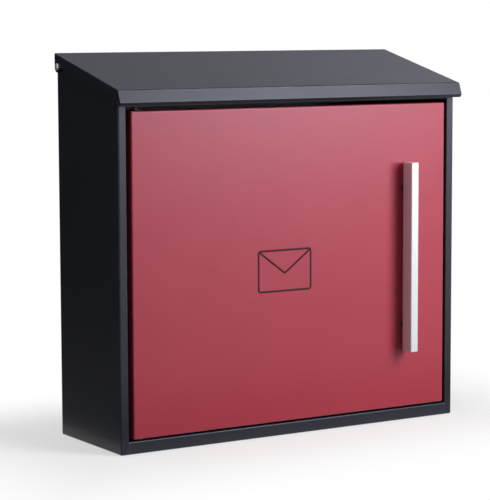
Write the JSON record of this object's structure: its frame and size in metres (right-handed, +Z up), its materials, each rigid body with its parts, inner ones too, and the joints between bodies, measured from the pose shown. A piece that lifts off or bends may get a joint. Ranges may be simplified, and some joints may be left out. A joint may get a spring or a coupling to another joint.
{
  "type": "wall mailbox",
  "caption": "Black sheet-steel wall mailbox with a sloping lift-up lid over the letter mouth, a red inset door hinged on the left and an upright bar handle.",
  "frame": {"origin": "centre of the four wall holes, on the wall plane that the pressed ribs stand on", "axes": "+X to the right as seen from the front, +Y into the wall, +Z up; the door faces -Y"},
  "size_m": [0.3688, 0.1404, 0.3476],
  "materials": {
    "black_powder_coat": "fine-textured satin black powder coat",
    "red_powder_coat": "satin deep red powder coat",
    "bright_metal": "bright polished metal",
    "zinc_steel": "zinc-plated steel",
    "black_steel": "blackened steel",
    "black_nylon": "matt moulded nylon",
    "black_rubber": "matt rubber",
    "white_plastic": "satin moulded plastic",
    "ferrite": "matt dark ferrite"
  },
  "bodies": {
    "box": {"body_wrapper": "black_powder_coat", "back_panel": "black_powder_coat", "front_header": "black_powder_coat", "lid_pivot_rivet_left": "zinc_steel", "lid_pivot_rivet_right": "zinc_steel", "lid_pivot_washers": "black_nylon", "lid_buffers": "black_rubber", "door_pivot_pin_bottom": "black_steel", "door_pivot_pin_top": "black_steel", "catch_bracket": "black_powder_coat", "catch_housing": "white_plastic", "catch_magnet": "ferrite", "catch_pole_plates": "zinc_steel"},
    "lid": {"lid": "black_powder_coat"},
    "door": {"door_panel": "red_powder_coat", "door_pivot_bushes": "black_nylon", "handle_bar": "bright_metal", "handle_spacers": "black_nylon", "handle_washers": "zinc_steel", "handle_screws": "zinc_steel"}
  },
  "joints": [
    {"name": "lid_hinge", "type": "hinge", "parent": "box", "child": "lid", "pos_m": [0, -0.014, 0.17059], "axis": [-1, 0, 0], "range_deg": [0, 105]},
    {"name": "door_hinge", "type": "hinge", "parent": "box", "child": "door", "pos_m": [-0.1597, -0.1149, 0], "axis": [0, 0, -1], "range_deg": [0, 110]}
  ]
}
